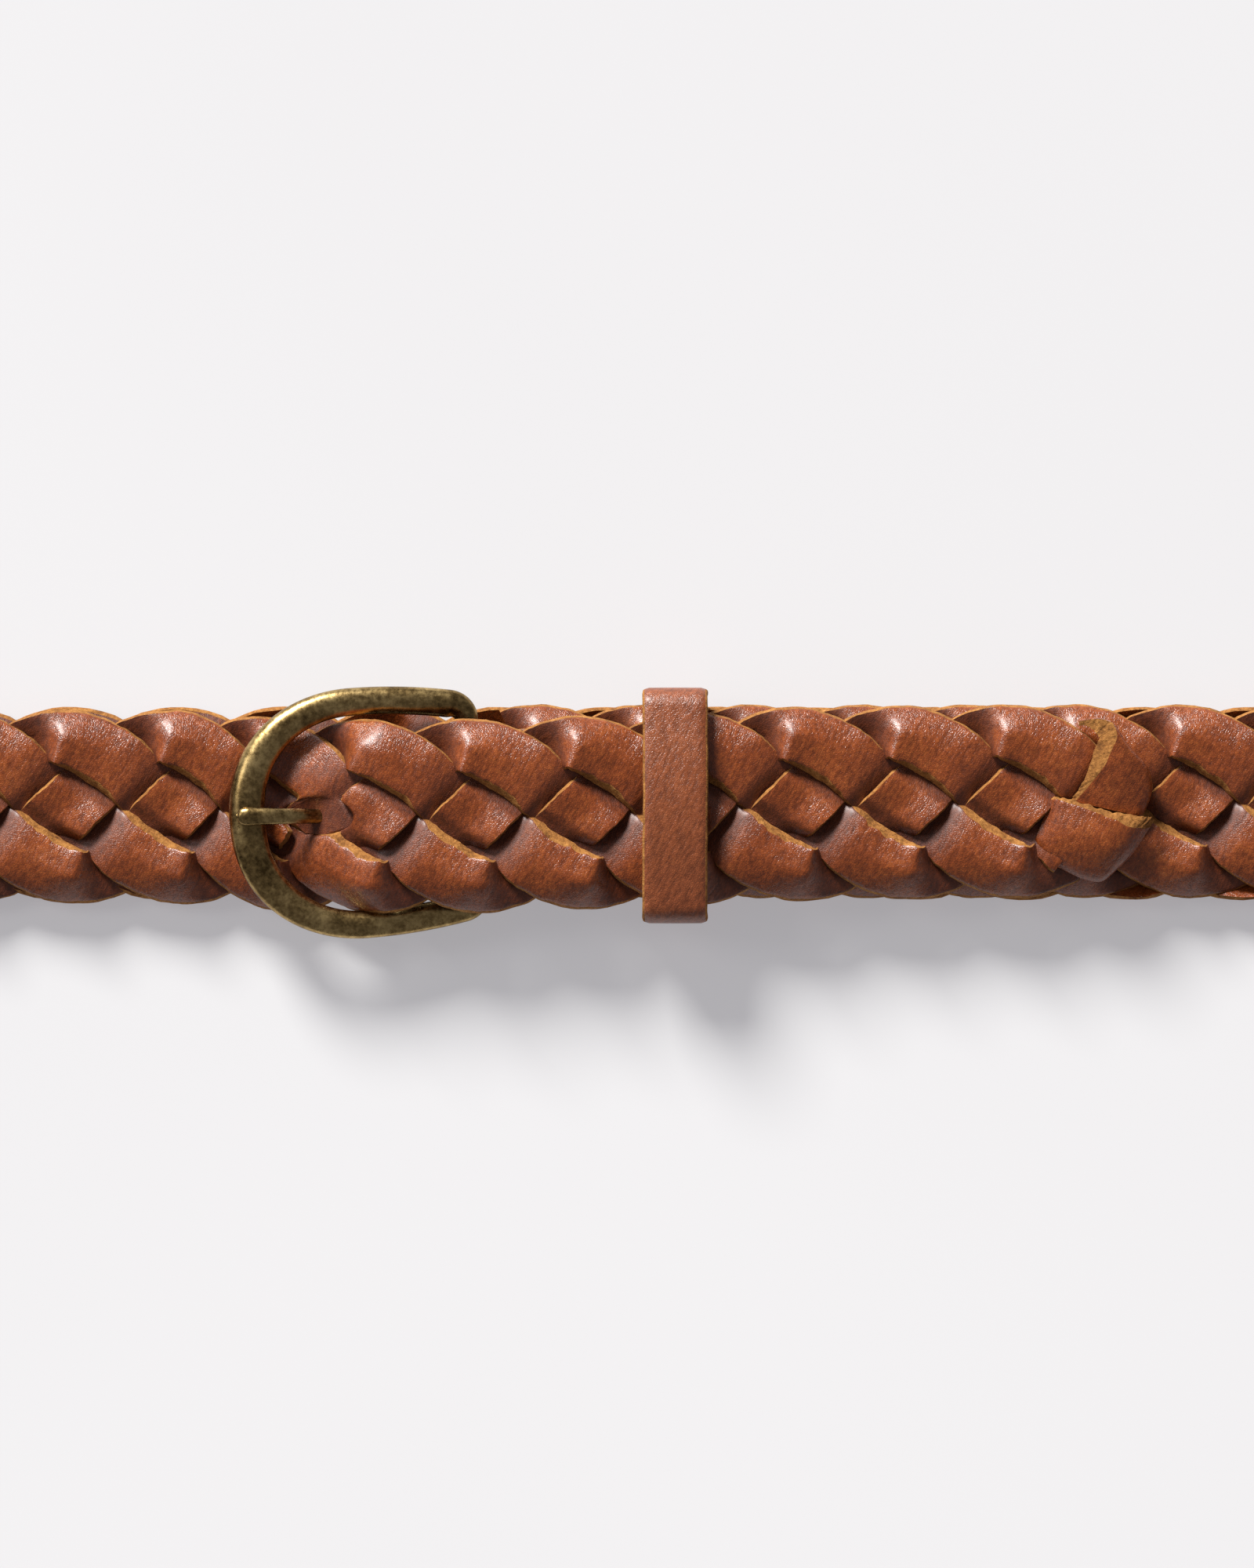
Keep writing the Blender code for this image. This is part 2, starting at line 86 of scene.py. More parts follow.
TAIL_LENGTH = 132.8 * MM
TAIL_ROUNDING = 11.0 * MM
RISE_AFTER_RIM = 3.0 * MM
RISE_LENGTH = 25.0 * MM
EDGE_LAG = 10.0 * MM
RIM_LIFT = 1.0 * MM
DROP_LENGTH = 40.0 * MM
BACK_Y = 1.8 * MM
UNDER_Y = 2.2 * MM
FRONT_DRIFT = (
    (-110 * MM, 1.1 * MM),
    (-86 * MM, 1.1 * MM),
    (-62 * MM, PRONG_Y),
    (BAR_X, PRONG_Y),
    (-8 * MM, 0.0 * MM),
    (34 * MM, 1.7 * MM),
    (76 * MM, 2.2 * MM),
)

# Sizes that follow from the ones above
PITCH = TURN_LENGTH / STRIPS
BRAID_DEPTH = 2 * WEAVE + STRIP_THICKNESS
LAYER = BRAID_DEPTH + CLEAR
BACK_Z = BRAID_DEPTH / 2
UNDER_Z = BACK_Z + LAYER
TAIL_Z = UNDER_Z + LAYER
WRAP_INNER = BRAID_DEPTH / 2 + CLEAR
WRAP_OUTER = WRAP_INNER + WRAP_THICKNESS
BAR_Z = BRAID_DEPTH + CLEAR + WRAP_OUTER
BAR_WIDTH = RIM_WIDTH * BAR_SHARE
HOOK_RADIUS = BAR_WIDTH / 2 + CLEAR + PRONG_DEPTH / 2
OVER_BAR_Z = BAR_Z + HOOK_RADIUS + PRONG_DEPTH / 2 + CLEAR + BRAID_DEPTH / 2
RIM_X = BAR_X - BUCKLE_REACH
RIM_Z = UNDER_Z + BRAID_DEPTH / 2 + CLEAR + WIRE_DEPTH / 2 + RIM_LIFT
UNDER_KEEPER_Z = BRAID_DEPTH + CLEAR + KEEPER_THICKNESS + CLEAR + BRAID_DEPTH / 2
TAIL_KEEPER_Z = UNDER_KEEPER_Z + LAYER
TIP_X = BAR_X + TAIL_LENGTH
RISE_X = RIM_X + RISE_AFTER_RIM
KEEPER_LEFT = KEEPER_X - KEEPER_WIDTH / 2
KEEPER_RIGHT = KEEPER_X + KEEPER_WIDTH / 2
FOLD_BACK = (FOLD_RADIUS * (1 + cos(FOLD_CLOSING)) - LAYER) / (1 - cos(FOLD_CLOSING))
FOLD_CENTRE = HALF_LENGTH - BRAID_DEPTH / 2 - FOLD_RADIUS
FOLD_START = FOLD_CENTRE - (FOLD_BACK + FOLD_RADIUS) * sin(FOLD_CLOSING)
FOLD_LENGTH = FOLD_BACK * FOLD_CLOSING + FOLD_RADIUS * (pi + FOLD_CLOSING)
FRONT_HEIGHTS = (
    (RISE_X, UNDER_Z),
    (RISE_X + RISE_LENGTH, OVER_BAR_Z),
    (BAR_X + WRAP_LENGTH, OVER_BAR_Z),
    (KEEPER_LEFT, TAIL_KEEPER_Z),
    (KEEPER_RIGHT, TAIL_KEEPER_Z),
    (KEEPER_RIGHT + DROP_LENGTH, TAIL_Z),
)
UNDER_HEIGHTS = (
    (BAR_X + WRAP_LENGTH, BAR_Z),
    (KEEPER_LEFT, UNDER_KEEPER_Z),
    (KEEPER_RIGHT, UNDER_KEEPER_Z),
    (KEEPER_RIGHT + DROP_LENGTH, UNDER_Z),
)

# A strip on its way down, from its turn at the upper edge to the middle of the braid, and on its
# way up, from the middle of the braid to that turn. Millimetres from the turn, or from the middle.
# Height is a share of the weave's height. The drops of both edges, the depth of the trough along
# the middle and the widths of the slanted cuts are millimetres
DOWN = (
    # upper x, y, lower x, y, height, upper drop, lower drop, trough, upper cut, lower cut
    (0.4, 18.9, -2.4, 8.2, 1.45, 3.20, -0.30, 0.00, 0.42, 0.40),
    (5.5, 17.9, 0.3, 6.9, 1.18, 2.40, 0.20, 0.00, 0.38, 0.85),
    (10.2, 15.8, 3.0, 5.2, 0.92, 1.50, 0.15, 0.00, 0.32, 1.05),
    (14.3, 13.0, 6.4, 3.0, 0.78, 0.50, 0.15, 0.00, 0.30, 1.00),
    (17.2, 10.3, 8.8, 0.7, 0.48, 0.40, 0.05, 0.00, 0.30, 0.55),
    (20.9, 8.1, 10.9, -1.1, -0.55, 0.10, 0.05, 0.00, 0.30, 0.30),
    (23.7, 6.4, 13.2, -2.6, -0.92, 0.10, 0.10, 0.00, 0.30, 0.30),
    (25.65, 3.5, 16.4, -3.5, -0.97, 0.10, 0.10, 0.00, 0.30, 0.30),
)
UP = (
    # upper x, y, lower x, y, height, upper drop, lower drop, trough, upper cut, lower cut
    (-5.4, 3.5, 5.4, -3.5, 0.92, 0.00, 0.00, 1.00, 0.40, 0.35),
    (-3.2, 5.6, 7.4, -1.6, 0.74, 0.00, 0.00, 0.80, 0.40, 0.35),
    (-1.2, 7.5, 9.6, 0.6, -0.52, 0.10, 0.10, 0.20, 0.35, 0.30),
    (0.5, 10.7, 11.6, 2.6, -0.94, 0.10, 0.10, 0.00, 0.30, 0.30),
    (4.6, 12.7, 13.8, 4.9, -1.05, 0.10, 0.10, 0.20, 0.30, 0.30),
    (7.6, 15.1, 15.8, 6.8, -1.15, 0.00, 0.10, 0.90, 0.30, 0.30),
    (10.4, 17.0, 16.8, 7.9, -1.15, -0.30, -0.20, 1.50, 0.40, 0.30),
    (15.7, 18.6, 17.5, 8.6, 0.14, 0.80, -1.10, 0.90, 0.42, 0.35),
)

# What differs along the lower edge: its lobes hang lower and have a broad upper cut that starts at
# a sunken tip, and its necks lean down. Heights are shares of the weave's height, drops and cuts
# are millimetres or factors, and places are millimetres
LOBE_HEIGHT = 0.7
LOWER_LOBE_DROP = 1.4
LOWER_LOBE_CUT = 1.35
LOWER_TIP_X = 30
LOWER_TIP_CUT = 1.25
LOWER_TIP_SINK = 0.28
LOWER_NECK_Y = -6
LOWER_NECK_HEIGHT = 0.5
LOWER_NECK_DROP = 1.6
LOWER_NECK_TROUGH = 0.3

# How far the pattern of the back run is slid along the strap, over the length of each end fold
BACK_SLIDE = 5.0 * MM

# Where the photo doesn't show the strap, the weave is flatter and its cuts slant to the other face
HIDDEN_FADE = 30 * MM
HIDDEN_HEIGHT = 0.69
HIDDEN_CUT = 1.6

# A strip's section: powers of its droop and trough, rounding of its edges and bulge of its cuts
DROOP_POWER = 1.25
TROUGH_POWER = 1.3
EDGE_ROUNDING = 0.15
EDGE_POWER = 10
LEAST_CUT = 0.05 * MM
CUT_BULGE = 0.05 * MM

# Unevenness of a strip's edges, as length of the waves and size, and how much its cuts share it
EDGE_WAVES = ((1.9 * MM, 0.10), (0.8 * MM, 0.07))
CUT_UNEVENNESS = 2.2

# Height, as a share of the weave's, below which shade is painted into the leather as a darker
# colour, and the depth of the change
HOLLOW_TOP = 0.85
HOLLOW_DEPTH = 0.9

# The two folded strip ends at the tip of the tail, in millimetres, with heights above the tail's
# middle surface. Across each row: outer edge of the cut, edge of the face, its middle, its far side
UPPER_END = (
    ((88.2, 17.0, 2.0), (88.2, 17.8, 2.2), (88.2, 17.8, 2.2), (88.3, 17.8, 2.1)),
    ((90.2, 16.6, 2.4), (91.6, 18.3, 3.0), (91.7, 18.3, 3.0), (91.7, 18.3, 2.8)),
    ((91.6, 15.3, 2.8), (94.5, 17.6, 3.7), (94.6, 17.5, 3.5), (94.8, 17.4, 3.0)),
    ((92.0, 14.0, 3.0), (95.6, 15.3, 4.1), (96.6, 14.5, 3.7), (97.7, 13.5, 2.3)),
    ((90.9, 11.2, 3.0), (94.6, 12.1, 3.9), (98.0, 11.0, 3.5), (101.3, 9.4, 1.6)),
    ((89.7, 7.7, 2.8), (92.5, 8.2, 3.5), (97.4, 7.0, 3.1), (102.5, 5.8, 1.2)),
    ((88.1, 4.5, 2.3), (90.1, 5.2, 2.7), (96.2, 3.8, 2.5), (102.0, 2.6, 0.9)),
    ((86.6, 2.4, 1.8), (87.4, 2.0, 2.0), (93.8, 0.7, 1.7), (100.4, -0.9, 0.6)),
)
LOWER_END = (
    ((82.9, 2.8, 1.2), (82.7, 2.4, 1.4), (81.4, -1.1, 1.2), (79.5, -5.5, 0.7)),
    ((83.9, 3.0, 2.2), (83.9, 2.6, 2.6), (82.9, -2.9, 2.3), (80.1, -6.9, 0.8)),
    ((87.1, 2.3, 2.8), (87.1, 1.6, 3.4), (85.3, -3.9, 3.3), (81.8, -9.2, 0.8)),
    ((91.3, 1.1, 3.0), (91.3, 0.1, 3.9), (89.2, -5.7, 3.8), (85.0, -11.0, 0.8)),
    ((95.5, -0.0, 3.0), (95.5, -1.6, 3.9), (93.4, -7.1, 3.6), (88.5, -12.6, 0.7)),
    ((99.2, -0.6, 2.7), (98.3, -2.9, 3.3), (95.9, -8.1, 2.6), (91.6, -13.4, 0.3)),
    ((102.0, -0.9, 2.1), (100.4, -3.1, 2.3), (97.6, -8.5, 1.3), (93.2, -13.2, -0.1)),
    ((102.7, -1.8, 1.3), (102.0, -3.0, 1.2), (98.7, -8.1, 0.2), (94.3, -12.5, -0.9)),
)

# The folded ends take the place of the last of the strips, which are trimmed in a rounded line
END_TRIM = 4.0 * MM
END_ROUNDING = 1.7 * TAIL_ROUNDING
END_THICKNESS = 1.5
END_RINGS = 90
END_CUT_POINTS = 5
END_FACE_POINTS = 19

# Rings along a strip where it shows and where it is hidden, points over its face and on its back
FINE_STEP = 0.6 * MM
COARSE_STEP = 1.5 * MM
FACE_POINTS = 15
CUT_POINTS = 3
BACK_POINTS = 5

# The studio's slightly cool white, and the height of the floor's mesh below the belt
STUDIO_WHITE = (0.97, 0.95, 1.0, 1)
FLOOR_GAP = 0.3 * MM


def noise(seed, points):
    """Smooth random values about 0, at points counted in units of the noise's size."""
    table = np.random.default_rng(seed).uniform(-1, 1, 4096)
    cell = np.floor(points).astype(int)
    t = points - cell
    t = t * t * (3 - 2 * t)
    return table[cell % 4096] * (1 - t) + table[(cell + 1) % 4096] * t


def eased(table, x):
    """Value of a two-column table at x, level at each of its rows."""
    places, values = np.array(table).T
    i = np.clip(np.searchsorted(places, x) - 1, 0, len(places) - 2)
    t = np.clip((x - places[i]) / (places[i + 1] - places[i]), 0, 1)
    return values[i] + (values[i + 1] - values[i]) * t * t * (3 - 2 * t)


def rise(x, v):
    """Height of the front run where it climbs through the buckle, later at its two edges."""
    lag = EDGE_LAG * np.minimum(1.0, np.abs(v) / (BRAID_WIDTH / 2)) ** 2
    t = np.clip((x - RISE_X - lag) / (RISE_LENGTH - lag), 0, 1)
    return UNDER_Z + (OVER_BAR_Z - UNDER_Z) * t * t * (3 - 2 * t)


def arc_points(centre_x, centre_z, radius, start, end, step):
    """Points on an arc from one angle to another."""
    angles = np.linspace(start, end, int(abs(end - start) * radius / step))
    return [(centre_x + radius * cos(a), centre_z + radius * sin(a)) for a in angles]


class StrapPath:
    """Middle line of the whole strap, from the bar round the loop to the tip of the tail."""

    def __init__(self):
        self.step = step = 0.5 * MM
        under_x = np.arange(BAR_X + STRIP_START, FOLD_START, step)
        front_x = np.arange(-FOLD_START + step, TIP_X + step / 2, step)
        back_x = np.arange(FOLD_CENTRE - step, -FOLD_CENTRE, -step)
        points = list(zip(under_x, eased(UNDER_HEIGHTS, under_x)))
        points += self.fold(1.0)
        points += [(x, BACK_Z) for x in back_x]
        points += reversed(self.fold(-1.0))
        points += list(zip(front_x, eased(FRONT_HEIGHTS, front_x)))
        line = np.array(points)
        gaps = np.hypot(*np.diff(line, axis=0).T)
        self.line = line[np.concatenate(([True], gaps > step / 100))]
        self.along = np.concatenate(([0.0], np.cumsum(np.hypot(*np.diff(self.line, axis=0).T))))
        self.slope = np.gradient(self.line, self.along, axis=0)
        self.length = self.along[-1]
        front = self.along[-len(front_x):]
        self.front_start = front[0]
        self.hole = float(np.interp(PRONG_HOLE_X, front_x, front))
        self.under_end = self.along[len(under_x) - 1]

    def fold(self, side):
        """End fold from the upper run down to the back run, at +X or mirrored to -X."""
        points = arc_points(FOLD_START, UNDER_Z + FOLD_BACK, FOLD_BACK,
                            -pi / 2, -pi / 2 + FOLD_CLOSING, self.step)
        points += arc_points(FOLD_CENTRE, BACK_Z + FOLD_RADIUS, FOLD_RADIUS,
                             pi / 2 + FOLD_CLOSING, -pi / 2, self.step)
        return [(side * x, z) for x, z in points]

    def points(self, u, v, w):
        """World points at u along the strap, v across it and w out of its middle surface."""
        x = np.interp(u, self.along, self.line[:, 0])
        z = np.interp(u, self.along, self.line[:, 1])
        z = z + np.where(u > self.front_start, rise(x, v) - rise(x, 0 * v), 0)
        tx = np.interp(u, self.along, self.slope[:, 0])
        tz = np.interp(u, self.along, self.slope[:, 1])
        size = np.hypot(tx, tz)
        loop = (
            (self.under_end, UNDER_Y),
            (self.under_end + FOLD_LENGTH, BACK_Y),
            (self.front_start - FOLD_LENGTH, BACK_Y),
            (self.front_start, FRONT_DRIFT[0][1]),
        )
        across = np.where(u >= self.front_start, eased(FRONT_DRIFT, x), eased(loop, u))
        return np.stack((x - w * tz / size, across + v, z + w * tx / size), axis=-1)


def around_prong(u, v, centre):
    """The braid parts round the prong and gathers towards it from the left."""
    far = np.hypot((u - centre) / (HOLE_LENGTH / 2), v / (HOLE_WIDTH / 2)) + 1e-9
    push = (far ** HOLE_POWER + 1) ** (1 / HOLE_POWER) / far
    u = centre + (u - centre) * push
    u = u + eased(((centre - GATHER_LENGTH, GATHER), (centre, 0.0)), u)
    return u, v * push


def reflected(row, x):
    """A row of the tables turned half round about the middle line at x."""
    ux, uy, lx, ly, height, upper_drop, lower_drop, trough, upper, lower = row
    return 2 * x - lx, -ly, 2 * x - ux, -uy, height, lower_drop, upper_drop, trough, lower, upper


def turn_rows():
    """Rows of one full turn of a strip: down from the upper edge, then up from the lower edge."""
    pitch = PITCH / MM
    down = list(DOWN)
    down += [reflected(row, pitch) for row in reversed(DOWN[:-1])]
    up = [reflected(row, 0.0) for row in reversed(UP[1:])] + list(UP)
    rows = []
    for ux, uy, lx, ly, height, upper_drop, lower_drop, trough, upper, lower in down:
        if uy < 0 and height > LOBE_HEIGHT:
            lower_drop *= LOWER_LOBE_DROP
            upper *= LOWER_LOBE_CUT
        if ux > LOWER_TIP_X and height < LOBE_HEIGHT:
            upper = LOWER_TIP_CUT
            height -= LOWER_TIP_SINK
        rows.append((ux, uy, lx, ly, height, upper_drop, lower_drop, trough, upper, lower))
    for ux, uy, lx, ly, height, upper_drop, lower_drop, trough, upper, lower in up:
        if ly < LOWER_NECK_Y and height < LOWER_NECK_HEIGHT:
            lower_drop += LOWER_NECK_DROP
            trough *= LOWER_NECK_TROUGH
        rows.append((ux + 3 * pitch, uy, lx + 3 * pitch, ly, height, upper_drop, lower_drop,
                     trough, upper, lower))
    return rows


def curve_through(knots, values, at, limited):
    """Smooth curve through values. A limited one doesn't pass beyond its neighbours."""
    gaps = np.diff(knots)[:, None]
    slopes = np.diff(values, axis=0) / gaps
    inner = (slopes[:-1] * gaps[1:] + slopes[1:] * gaps[:-1]) / (gaps[1:] + gaps[:-1])
    if limited:
        same = slopes[:-1] * slopes[1:] > 0
        least = np.minimum(np.abs(slopes[:-1]), np.abs(slopes[1:]))
        inner = np.where(same, np.sign(inner) * np.minimum(np.abs(inner), 2 * least), 0)
    tangents = np.vstack((slopes[:1], inner, slopes[-1:]))
    i = np.clip(np.searchsorted(knots, at) - 1, 0, len(knots) - 2)
    gap = gaps[i]
    t = ((at - knots[i])[:, None]) / gap
    t2, t3 = t * t, t * t * t
    return ((2 * t3 - 3 * t2 + 1) * values[i] + (t3 - 2 * t2 + t) * gap * tangents[i]
            + (3 * t2 - 2 * t3) * values[i + 1] + (t3 - t2) * gap * tangents[i + 1])


def strip_rings(path, number):
    """Fine rings of one strip: its two edges in the flat braid and the values of its section."""
    first_turn = path.hole + PITCH * (HOLE_PHASE + number)
    turns = int(path.length / TURN_LENGTH) + 2
    pattern = turn_rows()
    rows = []
    for turn in range(-turns, 2):
        start = first_turn + turn * TURN_LENGTH
        for ux, uy, lx, ly, *section in pattern:
            rows.append([start + ux * MM, uy * MM, start + lx * MM, ly * MM, *section])
    rows = np.array(rows)
    middle = (rows[:, 0:2] + rows[:, 2:4]) / 2
    knots = np.concatenate(([0.0], np.cumsum(np.hypot(*np.diff(middle, axis=0).T))))
    inside = (middle[:, 0] > -3 * PITCH) & (middle[:, 0] < path.length + 3 * PITCH)
    rows, knots, middle = rows[inside], knots[inside], middle[inside]
    places = [knots[0]]
    while places[-1] < knots[-1]:
        u = np.interp(places[-1], knots, middle[:, 0])
        hidden = path.under_end + HIDDEN_FADE < u < path.front_start - HIDDEN_FADE
        places.append(places[-1] + (COARSE_STEP if hidden else FINE_STEP))
    places = np.array(places[:-1])
    edges = curve_through(knots, rows[:, :4], places, False)
    section = curve_through(knots, rows[:, 4:], places, True)
    low = np.minimum(edges[:, 0], edges[:, 2])
    high = np.maximum(edges[:, 0], edges[:, 2])
    outer = np.maximum(np.abs(edges[:, 1]), np.abs(edges[:, 3])) / (BRAID_WIDTH / 2)
    end = path.length - END_TRIM - END_ROUNDING * outer ** 3
    kept = (low >= -GATHER) & (high <= end)
    return places[kept], edges[kept], section[kept]


def ring_faces(rings, around, looped, flipped):
    """Quads between rings of points: in a loop of rings, or from end to end with two caps."""
    index = np.arange(rings * around).reshape(rings, around)
    before = index if looped else index[:-1]
    after = np.roll(index, -1, axis=0) if looped else index[1:]
    corners = [before, after, np.roll(after, -1, axis=1), np.roll(before, -1, axis=1)]
    if flipped:
        corners[1], corners[3] = corners[3], corners[1]
    faces = np.stack(corners, axis=-1).reshape(-1, 4).tolist()
    if not looped:
        first, last = index[0].tolist(), index[-1].tolist()
        faces += [first, last[::-1]] if flipped else [first[::-1], last]
    return faces


def ring_mesh(name, grid, kinds=None, looped=False, flipped=False):
    """Smooth mesh over rings of points. kinds is the material of each quad round a ring."""
    rings, around = grid.shape[:2]
    faces = ring_faces(rings, around, looped, flipped)
    mesh = bpy.data.meshes.new(name)
    mesh.from_pydata(grid.reshape(-1, 3).tolist(), [], faces)
    if kinds is not None:
        indices = list(kinds) * (len(faces) // around)
        indices += [1] * (len(faces) - len(indices))
        mesh.polygons.foreach_set("material_index", indices)
    mesh.polygons.foreach_set("use_smooth", [True] * len(faces))
    mesh.update()
    return mesh


def surface_height(middle, share, upper_drop, lower_drop, trough):
    """Height of a strip's surface at a share of the way from its middle to an edge."""
    drop = np.where(share > 0, upper_drop, lower_drop) * abs(share) ** DROOP_POWER
    return middle + (trough * (abs(share) ** TROUGH_POWER - 0.5) - drop) * MM


def cut_points(side, cut, width, shown, face_height, back_height):
    """Places and heights over one slanted raw edge, from the face to the back."""
    points = []
    for j in range(1, CUT_POINTS + 1):
        t = j / (CUT_POINTS + 1)
        place = width / 2 - cut * (shown * (1 - t) + (1 - shown) * t) + CUT_BULGE * sin(pi * t)
        points.append((side * place, face_height * (1 - t) + back_height * t))
    return points


def make_strip(path, number, materials):
    """One fine strip with a crowned face and slanted cut edges."""
    places, edges, section = strip_rings(path, number)
    height, upper_drop, lower_drop, trough, upper_cut, lower_cut = section.T
    # Painted shade: how deep each ring lies in the braid's hollows, which darkens the leather's
    # colour
    hollows = np.clip((HOLLOW_TOP - height) / HOLLOW_DEPTH, 0, 1)

    # Ease the section where it is hidden
    middle_u = (edges[:, 0] + edges[:, 2]) / 2
    from_hidden = np.maximum(path.under_end - middle_u, middle_u - path.front_start)
    shown = np.clip((from_hidden + HIDDEN_FADE) / HIDDEN_FADE, 0, 1)
    height = height * (HIDDEN_HEIGHT + (1 - HIDDEN_HEIGHT) * shown)
    upper_drop = np.where(upper_drop < 0, upper_drop * shown, upper_drop)
    lower_drop = np.where(lower_drop < 0, lower_drop * shown, lower_drop)

    # Roughen the two edges and their cuts
    rough = [sum(noise(10 * number + 4 * i + k, places / length) * size
                 for i, (length, size) in enumerate(EDGE_WAVES)) for k in range(4)]
    upper, lower = edges[:, 0:2], edges[:, 2:4]
    across = upper - lower
    across /= np.hypot(*across.T)[:, None]
    upper = upper + across * (rough[0] * MM)[:, None]
    lower = lower - across * (rough[1] * MM)[:, None]
    width = np.hypot(*(upper - lower).T)
    upper_cut = upper_cut * (1 + CUT_UNEVENNESS * rough[2]) * MM
    lower_cut = lower_cut * (1 + CUT_UNEVENNESS * rough[3]) * MM

    # Places across the strip and heights, round its section
    droop = (upper_drop, lower_drop, trough)
    half = STRIP_THICKNESS / 2
    face, back = [], []
    for share in np.linspace(1, -1, FACE_POINTS):
        share = np.sign(share) * (1 - (1 - abs(share)) ** DROOP_POWER)
        inset = np.where(share > 0, upper_cut, lower_cut) * shown
        top = surface_height(height * WEAVE + half, share, *droop)
        face.append((share * (width / 2 - np.maximum(inset, LEAST_CUT)),
                     top - EDGE_ROUNDING * share ** EDGE_POWER * MM))
    for share in np.linspace(-1, 1, BACK_POINTS):
        inset = np.where(share > 0, upper_cut, lower_cut) * HIDDEN_CUT * (1 - shown)
        back.append((share * (width / 2 - inset),
                     surface_height(height * WEAVE - half, share, *droop)))
    lower_points = cut_points(-1, lower_cut, width, shown, face[-1][1], back[0][1])
    upper_points = cut_points(1, upper_cut, width, shown, face[0][1], back[-1][1])
    around = face + lower_points + back + upper_points[::-1]

    # Lay the flat braid round the prong and along the strap
    slides = ((path.under_end, 0.0), (path.under_end + FOLD_LENGTH, BACK_SLIDE),
              (path.front_start - FOLD_LENGTH, BACK_SLIDE), (path.front_start, 0.0))
    middle = (upper + lower) / 2
    sheets = []
    for place, w in around:
        flat = middle + across * place[:, None]
        u, v = around_prong(flat[:, 0], flat[:, 1], path.hole)
        sheets.append(path.points(u + eased(slides, u), v, w))
    kinds = [0] * len(around)
    for j in range(CUT_POINTS + 1):
        kinds[FACE_POINTS - 1 + j] = kinds[-1 - j] = 1
    mesh = ring_mesh(f"strip_{number + 1}", np.stack(sheets, axis=1), kinds)
    # Stored for the material, which paints shade darker into these hollows
    hollow = mesh.attributes.new("hollow", "FLOAT", "POINT")
    hollow.data.foreach_set("value", np.repeat(hollows, len(around)).astype(np.float32))
    mesh.set_sharp_from_angle(angle=radians(50))
    nodes = [f"strand_{number + 1}_left", f"strand_{number + 1}_right"]
    return add_piece(f"strip_{number + 1}", mesh, nodes, materials)


def make_folded_end(name, table, leather_walls, materials):
    """A cut and folded strip end: a bent sheet with a broad raw cut along one side."""
    control = np.array(table)
    at = np.linspace(0, len(control) - 1, END_RINGS)
    sides = [curve_through(np.arange(len(control)), control[:, k], at, False) for k in range(4)]

    # The raw cut is uneven along both its edges, more along the outer one, and over its face
    for k, size in ((0, 0.22), (1, 0.12)):
        for axis in range(2):
            waves = noise(90 + 2 * k + axis, at * 2.6) + 0.6 * noise(95 + axis, at * 7)
            sides[k][:, axis] += size * waves
    columns = []
    for t in np.linspace(0, 1, END_CUT_POINTS + 1)[:-1]:
        bulge = 0.15 * sin(pi * t) * noise(99, at * 9 + 3 * t)[:, None]
        columns.append(sides[0] * (1 - t) + sides[1] * t + bulge)

    # The face bends over its middle and rolls down at its far side
    knots = np.array((0.0, 0.5, 1.0))
    across = np.stack(sides[1:]).reshape(3, -1)
    for t in np.linspace(0, 1, END_FACE_POINTS):
        face = curve_through(knots, across, np.array([t]), False).reshape(END_RINGS, 3)
        roll = max(0.0, t - 0.85) / 0.15
        face[:, 2] -= 0.7 * roll * roll
        columns.append(face)

    # The wall at the far side, then the underside back to the raw cut
    far_side = columns[-1]
    outward = np.sign(sides[1] - sides[3]) * (1, 1, 0)
    for drop, inset in ((0.5, -0.1), (1.0, 0.0), (END_THICKNESS, 0.3)):
        columns.append(far_side - np.array((0, 0, drop)) + inset * outward)
    for k in (18, 8):
        columns.append(columns[k] - np.array((0, 0, END_THICKNESS)))
    columns.append(sides[0] - np.array((0, 0, 1.3)))
    kinds = [1] * END_CUT_POINTS + [0] * END_FACE_POINTS + [0 if leather_walls else 1] * 3 + [1] * 3
    grid = np.stack(columns, axis=1)
    grid[:, :, 2] += TAIL_Z / MM
    mesh = ring_mesh(name, grid * MM, kinds)
    mesh.set_sharp_from_angle(angle=radians(55))
    return add_piece(name, mesh, [], materials)


def frame_outline(steps):
    """Middle line of the frame's wire: place along, place across and share of the full size."""
    half = BUCKLE_HEIGHT / 2 - RIM_WIDTH * ARM_SHARE / 2
    crown = half
    arm = BUCKLE_REACH - crown
    bar_half = half - arm * sin(ARM_TAPER)
    side = []
    for i in range(steps):
        side.append((0.0, (bar_half - CORNER_RADIUS) * i / steps, BAR_SHARE))
    for i in range(steps + 1):
        a = pi / 2 * i / steps
        share = BAR_SHARE + (ARM_SHARE - BAR_SHARE) * i / steps
        side.append((-CORNER_RADIUS * (1 - cos(a)),
                     bar_half - CORNER_RADIUS * (1 - sin(a)), share))
    start = side[-1]
    for i in range(1, steps):
        t = i / steps
        x = start[0] + (-arm - start[0]) * t
        y = start[1] + (half - start[1]) * (1 - (1 - t) ** 2)
        side.append((x, y, ARM_SHARE))
    for i in range(3 * steps + 1):
        a = pi / 2 * i / (3 * steps)
        share = ARM_SHARE + (1 - ARM_SHARE) * sin(a) ** 2
        side.append((-arm - crown * sin(a), half * cos(a) ** CROWN_SQUARENESS, share))
    side[-1] = (-arm - crown, 0.0, 1.0)
    mirrored = [(x, -y, share) for x, y, share in reversed(side[1:-1])]
    return side + mirrored


